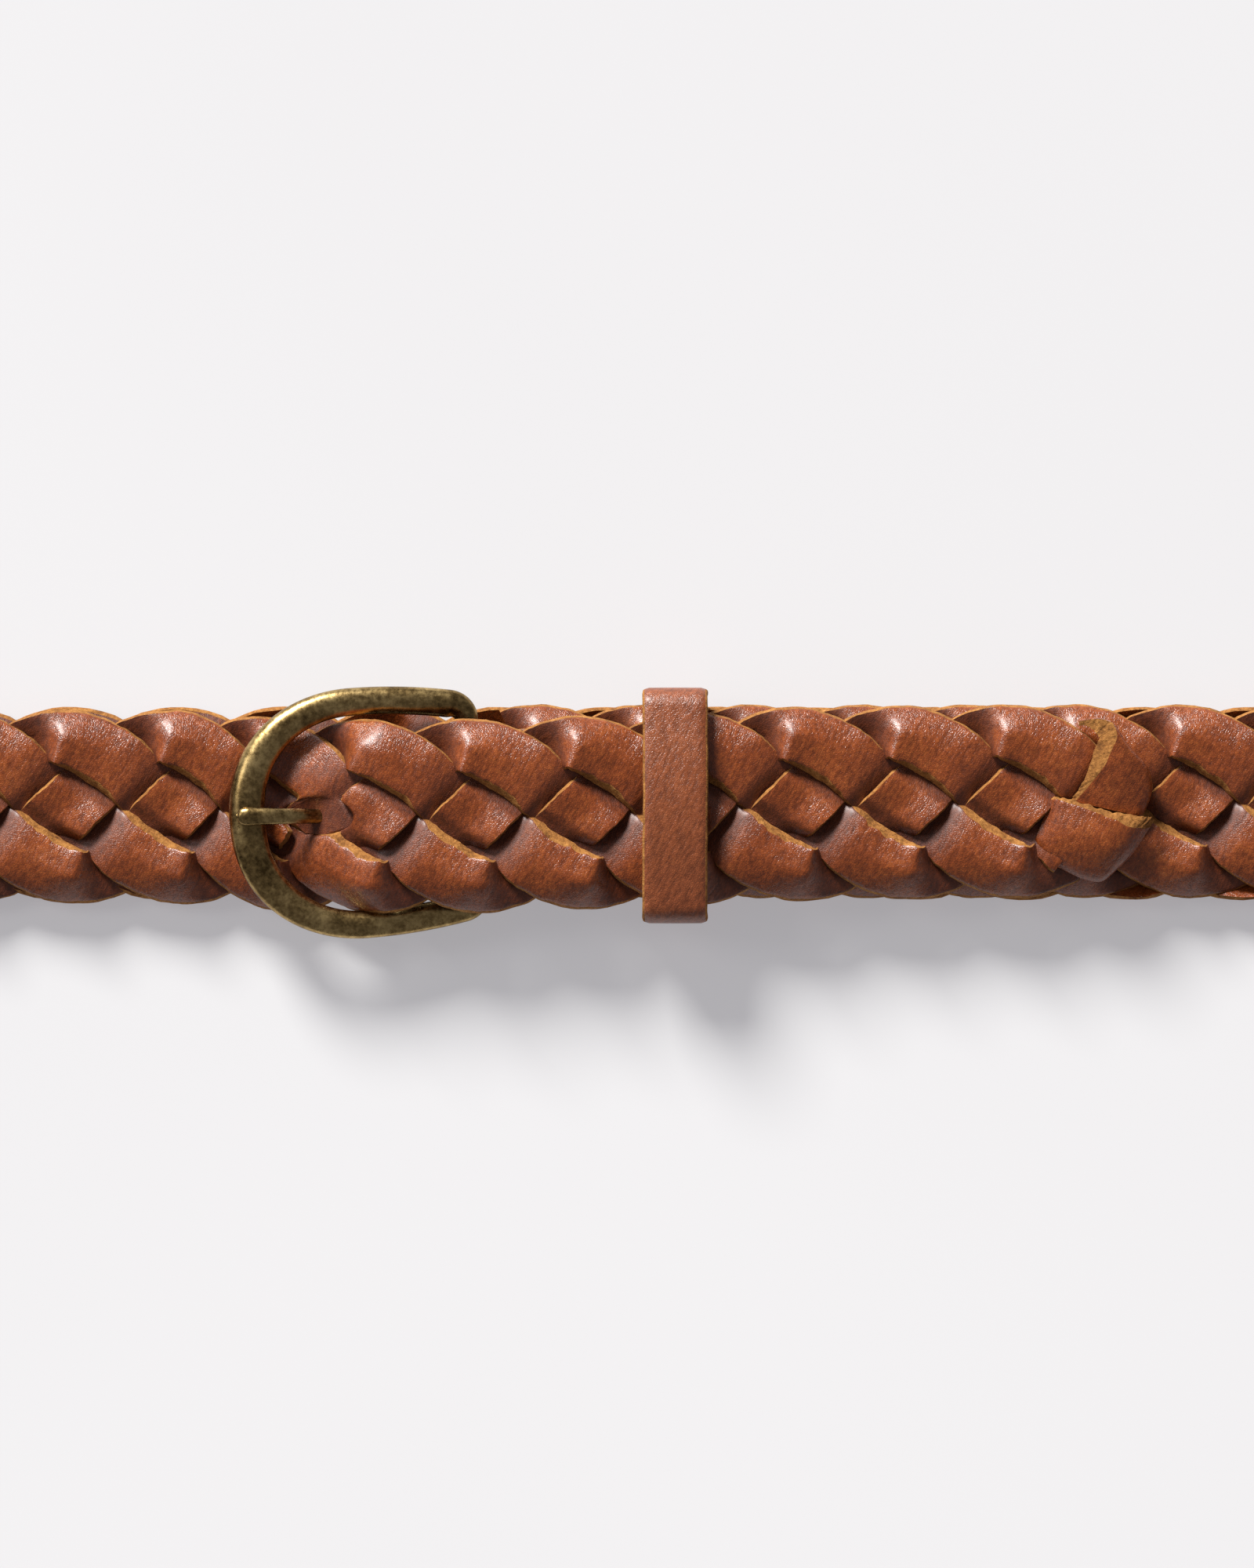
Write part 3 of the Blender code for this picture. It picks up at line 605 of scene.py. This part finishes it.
def wire_loop(name, centres, widths, depths, sides, power):
    """Closed wire along points, each with its own width and depth. A power of 2 is an ellipse."""
    centres = np.array(centres)
    tangents = np.roll(centres, -1, axis=0) - np.roll(centres, 1, axis=0)
    tangents /= np.linalg.norm(tangents, axis=1)[:, None]
    side = np.cross((0.0, 0.0, 1.0), tangents)
    side /= np.linalg.norm(side, axis=1)[:, None]
    over = np.cross(tangents, side)
    angles = np.linspace(0, 2 * pi, sides, endpoint=False)
    c = np.sign(np.cos(angles)) * np.abs(np.cos(angles)) ** (2 / power)
    s = np.sign(np.sin(angles)) * np.abs(np.sin(angles)) ** (2 / power)
    widths, depths = np.array(widths)[:, None, None], np.array(depths)[:, None, None]
    grid = (centres[:, None] + side[:, None] * c[None, :, None] * widths / 2
            + over[:, None] * s[None, :, None] * depths / 2)
    return ring_mesh(name, grid, looped=True, flipped=True)


def add_piece(name, mesh, nodes, materials):
    """A piece of the scene. It takes the place of the CAD nodes that are named."""
    for material in materials:
        mesh.materials.append(material)
    piece = bpy.data.objects.new(name, mesh)
    bpy.context.scene.collection.objects.link(piece)
    if nodes:
        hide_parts(*nodes)
    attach(piece, "root")
    return piece


def make_buckle(materials):
    """The horseshoe frame with its bar, as one rounded wire."""
    rows = frame_outline(14)
    tilt = asin((RIM_Z - BAR_Z) / BUCKLE_REACH)
    place = (Matrix.Translation((BAR_X, BUCKLE_Y, BAR_Z)) @ Matrix.Rotation(tilt, 4, "Y")
             @ Matrix.Rotation(BUCKLE_SWING, 4, "Z"))
    mesh = wire_loop("buckle", [(x, y, 0) for x, y, _ in rows],
                     [RIM_WIDTH * share for _, _, share in rows],
                     [WIRE_DEPTH * share for _, _, share in rows], sides=40, power=1.95)
    mesh.transform(place)
    return add_piece("buckle", mesh, ["buckle_frame"], materials)


def make_prong(materials):
    """The prong is swept in its own plane, so its section turns with it round the bar."""
    gap_z = float(eased(FRONT_HEIGHTS, PRONG_HOLE_X))
    rim_z = RIM_Z + WIRE_DEPTH / 2 + CLEAR + PRONG_DEPTH / 2
    hook_x = BAR_X - HOOK_RADIUS

    # Each row has x and z in metres, then width and depth in millimetres
    rows = []
    for i in range(9):
        a = radians(-75 + 185 * i / 8)
        rows.append((BAR_X + HOOK_RADIUS * cos(a), BAR_Z + HOOK_RADIUS * sin(a), 2.6, 1.5))
    rows += [
        (hook_x - 4.5 * MM, BAR_Z + 1.6 * MM, 2.8, 1.9),
        (hook_x - 17.7 * MM, gap_z - 2.2 * MM, 2.9, 1.9),
        (PRONG_HOLE_X, gap_z, 2.9, 1.9),
        (PRONG_HOLE_X - 3.5 * MM, gap_z + 2.9 * MM, 3.0, 1.9),
        (PRONG_HOLE_X - 7.1 * MM, rim_z - 0.9 * MM, 3.1, 1.9),
        (RIM_X + 2.2 * MM, rim_z, 3.4, 1.9),
        (RIM_X, rim_z + 0.05 * MM, 3.5, 1.8),
        (RIM_X - 0.9 * MM, rim_z, 2.9, 1.5),
        (RIM_X - 1.45 * MM, rim_z - 0.1 * MM, 1.8, 1.0),
        (RIM_X - 1.7 * MM, rim_z - 0.15 * MM, 0.5, 0.3),
    ]
    rows = np.array(rows)
    knots = np.concatenate(([0.0], np.cumsum(np.hypot(*np.diff(rows[:, :2], axis=0).T))))
    fine = np.linspace(0, knots[-1], 160)
    smooth = curve_through(knots, rows, fine, False)
    line = smooth[:, :2]
    slope = np.gradient(line, axis=0)
    slope /= np.hypot(*slope.T)[:, None]
    angles = np.linspace(0, 2 * pi, 28, endpoint=False)
    grid = []
    for (x, z), (tx, tz), (width, depth) in zip(line, slope, smooth[:, 2:] * MM):
        off = depth / 2 * np.sin(angles)
        grid.append(np.stack((x - off * tz, PRONG_Y + width / 2 * np.cos(angles), z + off * tx),
                             axis=-1))
    mesh = ring_mesh("buckle_prong", np.array(grid), flipped=True)
    return add_piece("buckle_prong", mesh, ["prong"], materials)


def rounded_box(half_width, half_height, corner, steps):
    """Outline of a box with round corners."""
    points = []
    for sx, sy, start in ((1, 1, 0), (-1, 1, 90), (-1, -1, 180), (1, -1, 270)):
        for i in range(steps + 1):
            a = radians(start + 90 * i / steps)
            points.append((sx * (half_width - corner) + corner * cos(a),
                           sy * (half_height - corner) + corner * sin(a)))
    return points


def resampled(points, step):
    """Closed outline with points at an even spacing."""
    points = np.array(points + points[:1])
    along = np.concatenate(([0.0], np.cumsum(np.hypot(*np.diff(points, axis=0).T))))
    at = np.linspace(0, along[-1], int(along[-1] / step), endpoint=False)
    return np.stack([np.interp(at, along, points[:, k]) for k in range(2)], axis=-1)


def make_keeper(materials):
    """Leather band with a gently domed face and rounded, cut edges."""
    height = 2 * BRAID_DEPTH + 3 * CLEAR + 2 * KEEPER_THICKNESS
    middle_z = (UNDER_KEEPER_Z + TAIL_KEEPER_Z) / 2
    corners = rounded_box(KEEPER_HEIGHT / 2, height / 2, KEEPER_CORNER, 10)
    outline = resampled(corners, 0.6 * MM)
    inward = np.roll(outline, -1, axis=0) - np.roll(outline, 1, axis=0)
    inward /= np.hypot(*inward.T)[:, None]
    inward = np.stack((-inward[:, 1], inward[:, 0]), axis=-1)

    # Section of the band: place across it, depth below its face and whether it is a raw edge
    half = KEEPER_WIDTH / 2
    edge = [(0.12, 0.5, 1), (0.0, 0.9, 1), (0.02, 1.4, 1), (0.2, KEEPER_THICKNESS / MM, 0)]
    section = []
    for share in np.linspace(-1, 1, 15):
        rounding = max(0.0, abs(share) - 0.86) / 0.14
        section.append((share * (half - 0.42 * MM),
                        (0.25 * rounding ** 2 + 0.04 * share * share) * MM, 0))
    section += [(half - inset * MM, depth * MM, raw) for inset, depth, raw in edge]
    section += [(-half + inset * MM, depth * MM, raw) for inset, depth, raw in reversed(edge)]

    t = np.arange(len(outline))
    on_face = outline[:, 1] > 0
    share = np.clip(outline[:, 0] / (KEEPER_HEIGHT / 2), -1, 1)
    dome = KEEPER_DOME * np.cos(pi / 2 * share) * on_face
    columns = []
    for x, depth, _ in section:
        sway = 0.10 * MM * noise(71, t / 14)
        if abs(x) > half * 0.9:
            sway = sway + 0.05 * MM * noise(72 + (x > 0), t / 4)
        columns.append(np.stack((KEEPER_X + x + sway,
                                 KEEPER_Y + outline[:, 0] + inward[:, 0] * depth,
                                 middle_z + outline[:, 1] + inward[:, 1] * depth + dome), axis=-1))
    raw = [point[2] for point in section]
    kinds = [max(raw[j], raw[(j + 1) % len(raw)]) for j in range(len(raw))]
    mesh = ring_mesh("keeper_band", np.stack(columns, axis=1), kinds, looped=True)
    return add_piece("keeper_band", mesh, ["keeper"], materials)


def make_wrap(materials):
    """Leather folded round the bar, with a slot for the prong."""
    radius = (WRAP_INNER + WRAP_OUTER) / 2
    flat_steps, bend_steps, slot_rows = 8, 24, 4
    flat = [WRAP_LENGTH * (i + 1) / flat_steps for i in range(flat_steps)]
    bend = [pi / 2 + pi * i / bend_steps for i in range(bend_steps + 1)]
    profile = [(x, radius) for x in reversed(flat)]
    profile += [(radius * cos(a), radius * sin(a)) for a in bend]
    profile += [(x, -radius) for x in flat]
    middle = PRONG_Y - BUCKLE_Y
    left = np.linspace(-WRAP_WIDTH / 2, middle - PRONG_SLOT / 2, 8)
    right = np.linspace(middle + PRONG_SLOT / 2, WRAP_WIDTH / 2, 8)
    points = [(x, y, z) for x, z in profile for y in (*left, *right)]
    n = len(left) + len(right)
    faces = []
    for i in range(len(profile) - 1):
        for j in range(n - 1):
            in_slot = j == len(left) - 1 and slot_rows <= i < len(profile) - 1 - slot_rows
            if not in_slot:
                faces.append((n * i + j, n * (i + 1) + j, n * (i + 1) + j + 1, n * i + j + 1))
    mesh = bpy.data.meshes.new("bar_leather")
    mesh.from_pydata(points, [], faces)
    mesh.polygons.foreach_set("use_smooth", [True] * len(faces))
    mesh.transform(Matrix.Translation((BAR_X, BUCKLE_Y, BAR_Z))
                   @ Matrix.Rotation(BUCKLE_SWING, 4, "Z"))
    piece = add_piece("bar_leather", mesh, ["bar_wrap"], materials)
    wall = piece.modifiers.new("wall", "SOLIDIFY")
    wall.thickness = WRAP_THICKNESS
    wall.offset = 0
    wall.material_offset_rim = 1
    soft = piece.modifiers.new("soft", "BEVEL")
    soft.width = 0.25 * MM
    soft.segments = 2
    return piece


class Nodes:
    """Short hand for a material's node tree."""

    def __init__(self, name):
        self.material = bpy.data.materials.new(name)
        self.material.use_nodes = True
        self.tree = self.material.node_tree
        self.shader = self.tree.nodes["Principled BSDF"]

    def feed(self, socket, value):
        """Link a socket to an output, or set its value."""
        if isinstance(value, bpy.types.NodeSocket):
            self.tree.links.new(value, socket)
        else:
            socket.default_value = value

    def add(self, kind, inputs=(), **settings):
        node = self.tree.nodes.new(kind)
        for key, value in settings.items():
            setattr(node, key, value)
        for key, value in dict(inputs).items():
            self.feed(node.inputs[key], value)
        return node

    def place(self):
        return self.add("ShaderNodeTexCoord").outputs["Object"]

    def surface(self, inputs):
        """Set or link the shader's inputs, and give the finished material."""
        for key, value in inputs.items():
            self.feed(self.shader.inputs[key], value)
        return self.material

    def mapped(self, vector, **settings):
        inputs = {"Vector": vector, **settings}
        return self.add("ShaderNodeMapping", inputs).outputs["Vector"]

    def noise(self, vector, scale, detail=3.0, roughness=0.55):
        inputs = {"Vector": vector, "Scale": scale, "Detail": detail, "Roughness": roughness}
        return self.add("ShaderNodeTexNoise", inputs).outputs["Fac"]

    def ramp(self, factor, stops):
        node = self.add("ShaderNodeValToRGB", {"Fac": factor})
        elements = node.color_ramp.elements
        while len(elements) < len(stops):
            elements.new(0.5)
        for element, (place, colour) in zip(elements, stops):
            element.position = place
            element.color = (*colour, 1)
        return node.outputs["Color"]

    def mix(self, factor, a, b, mode="MIX"):
        node = self.add("ShaderNodeMix", data_type="RGBA", blend_type=mode)
        for index, value in ((0, factor), (6, a), (7, b)):
            self.feed(node.inputs[index], value)
        return node.outputs[2]

    def math(self, operation, a, b):
        node = self.add("ShaderNodeMath", operation=operation)
        self.feed(node.inputs[0], a)
        self.feed(node.inputs[1], b)
        return node.outputs[0]

    def blend(self, a, share_a, b, share_b):
        return self.math("ADD", self.math("MULTIPLY", a, share_a),
                         self.math("MULTIPLY", b, share_b))

    def bump(self, height, strength, distance, normal=None):
        inputs = {"Height": height, "Strength": strength, "Distance": distance}
        if normal is not None:
            inputs["Normal"] = normal
        return self.add("ShaderNodeBump", inputs).outputs["Normal"]


def grain_leather(name, light, middle, dark, roughness):
    """Smooth waxed leather: mottled, pebbled and creased, with painted shade darkening the hollows
    of the braid.
    """
    n = Nodes(name)
    place = n.place()
    broad = n.noise(place, 90.0, 3.0, 0.6)
    fine = n.noise(place, 1300.0, 4.0, 0.65)
    colour = n.ramp(n.blend(broad, 0.35, fine, 0.65),
                    ((0.30, dark), (0.50, middle), (0.70, light)))

    # Creases run across the strips' way down
    turned = n.mapped(place, Rotation=(0, 0, radians(-62)))
    creases = n.noise(n.mapped(turned, Scale=(0.28, 1, 1)), 1350.0, 3.0, 0.6)
    shade = n.ramp(creases, ((0.38, (0.58, 0.56, 0.55)), (0.56, (1.04, 1.04, 1.04))))
    colour = n.mix(0.80, colour, shade, "MULTIPLY")

    # Painted shade darkens the hollows of the braid. Pieces without the attribute read 0, which is
    # no hollow
    hollow = n.add("ShaderNodeAttribute", attribute_name="hollow").outputs["Fac"]
    painted_shade = n.mix(1.0, colour, (0.40, 0.34, 0.32, 1), "MULTIPLY")
    colour = n.mix(n.math("MULTIPLY", hollow, 0.85), colour, painted_shade)

    cells = n.add("ShaderNodeTexVoronoi", {"Vector": place, "Scale": 2600.0, "Randomness": 1.0},
                  feature="DISTANCE_TO_EDGE").outputs["Distance"]
    pebbles = n.ramp(cells, ((0.0, (0, 0, 0)), (0.25, (1, 1, 1))))
    grooves = n.math("MULTIPLY", n.math("SUBTRACT", 1.0, pebbles), 0.35)
    colour = n.mix(grooves, colour, tuple(c * 0.55 for c in dark) + (1,))

    normal = n.bump(n.noise(place, 260.0, 2.0), 0.08, 0.0005)
    normal = n.bump(creases, 0.60, 0.00024, normal)
    normal = n.bump(pebbles, 0.50, 0.00006, normal)
    worn = n.math("MULTIPLY", n.noise(place, 900.0, 3.0), 0.16)
    rough = n.math("ADD", worn, roughness - 0.08)
    rough = n.math("ADD", rough, n.math("MULTIPLY", hollow, 0.30))
    return n.surface({"Base Color": colour, "Normal": normal, "Roughness": rough,
                      "Specular IOR Level": 0.5, "Coat Weight": 0.24, "Coat Roughness": 0.24})


def raw_leather(name, light, middle, dark):
    """Cut edge of the leather: fibrous, dry, lighter than its faces."""
    n = Nodes(name)
    place = n.place()
    fibres = n.noise(place, 1700.0, 5.0, 0.7)
    clumps = n.noise(place, 330.0, 3.0, 0.6)
    colour = n.ramp(n.blend(fibres, 0.6, clumps, 0.4),
                    ((0.34, dark), (0.50, middle), (0.66, light)))
    normal = n.bump(fibres, 0.9, 0.0003, n.bump(clumps, 0.7, 0.0005))
    return n.surface({"Base Color": colour, "Normal": normal, "Roughness": 0.85,
                      "Specular IOR Level": 0.25})


def aged_brass(name, light, middle, dark):
    """Old brass: dark in its pits, rubbed bright elsewhere, with fine specks."""
    n = Nodes(name)
    place = n.place()
    patina = n.noise(place, 130.0, 5.0, 0.65)
    specks = n.noise(place, 900.0, 4.0, 0.7)
    colour = n.ramp(n.blend(patina, 0.6, specks, 0.4),
                    ((0.37, dark), (0.50, middle), (0.65, light)))
    rough = n.math("ADD", n.math("MULTIPLY", specks, 0.30), 0.14)
    normal = n.bump(specks, 0.3, 0.00008, n.bump(patina, 0.10, 0.0003))
    return n.surface({"Base Color": colour, "Normal": normal, "Roughness": rough,
                      "Metallic": 1.0})


def pale_floor(name):
    """Plain pale paper that glows a little, so that shadows stay light."""
    n = Nodes(name)
    tone = n.noise(n.place(), 3.0, 2.0)
    colour = n.ramp(tone, ((0.3, (0.49, 0.49, 0.49)), (0.7, (0.51, 0.51, 0.51))))
    return n.surface({"Base Color": colour, "Roughness": 0.9, "Specular IOR Level": 0.1,
                      "Emission Color": STUDIO_WHITE, "Emission Strength": 0.33})


def make_floor(material):
    size = 1.6
    corners = [(-size, -size), (size, -size), (size, size), (-size, size)]
    mesh = bpy.data.meshes.new("floor")
    mesh.from_pydata([(x, y, -FLOOR_GAP) for x, y in corners], [], [(0, 1, 2, 3)])
    mesh.materials.append(material)
    floor = bpy.data.objects.new("floor", mesh)
    bpy.context.scene.collection.objects.link(floor)


def add_lamp(light, place, direction):
    """A light at a place, shining in a direction."""
    lamp = bpy.data.objects.new(light.name, light)
    lamp.location = place
    lamp.rotation_euler = Vector(direction).to_track_quat("-Z", "Y").to_euler()
    bpy.context.scene.collection.objects.link(lamp)


def light_scene():
    """Low soft light from the photo's upper left, a panel at the left and a dim white world."""
    scene = bpy.context.scene
    world = bpy.data.worlds.new("studio")
    world.use_nodes = True
    background = world.node_tree.nodes["Background"]
    background.inputs["Color"].default_value = STUDIO_WHITE
    background.inputs["Strength"].default_value = 0.18
    scene.world = world
    key = bpy.data.lights.new("key", "SUN")
    key.energy = 5.9
    key.angle = radians(20)
    key.color = (1.0, 0.985, 0.96)
    add_lamp(key, (0, 0, 0), (0.42, -0.92, -0.56))
    panel = bpy.data.lights.new("side", "AREA")
    panel.shape = "RECTANGLE"
    panel.size = panel.size_y = 0.4
    panel.energy = 2.0
    add_lamp(panel, (-1.0, 0.35, 0.9), (1.0, -0.35, -0.9))
    scene.view_settings.view_transform = "Standard"
    scene.view_settings.look = "None"


def add_camera():
    """Straight above the belt, far off, with the photo's 245 mm across the frame."""
    distance, across, height = 2.5, 0.245, 0.010
    middle_y = 5.59 * MM
    lens = bpy.data.cameras.new("camera")
    lens.sensor_fit = "HORIZONTAL"
    lens.sensor_width = 36.0
    lens.lens = lens.sensor_width * (distance - height) / across
    lens.clip_end = 20.0
    camera = bpy.data.objects.new("camera", lens)
    camera.location = (0.0, middle_y, distance)
    bpy.context.scene.collection.objects.link(camera)
    bpy.context.scene.camera = camera


def build():
    """All pieces, then the floor, the light and the camera. Colours are light, middle and dark."""
    strap = grain_leather("strap_brown", (0.46, 0.122, 0.026), (0.290, 0.063, 0.013),
                          (0.140, 0.029, 0.008), 0.29)
    smooth = grain_leather("keeper_brown", (0.40, 0.120, 0.042), (0.29, 0.076, 0.024),
                           (0.180, 0.044, 0.014), 0.33)
    raw = raw_leather("raw_edge", (0.55, 0.26, 0.070), (0.34, 0.140, 0.034),
                      (0.12, 0.044, 0.011))
    brass = aged_brass("aged_brass", (0.64, 0.46, 0.20), (0.31, 0.205, 0.080),
                       (0.10, 0.062, 0.022))
    path = StrapPath()
    for number in range(STRIPS):
        make_strip(path, number, (strap, raw))
    make_folded_end("tail_end_upper", UPPER_END, True, (strap, raw))
    make_folded_end("tail_end_lower", LOWER_END, False, (strap, raw))
    make_buckle((brass,))
    make_prong((brass,))
    make_keeper((smooth, raw))
    make_wrap((strap, raw))
    make_floor(pale_floor("pale_floor"))
    light_scene()
    add_camera()


build()
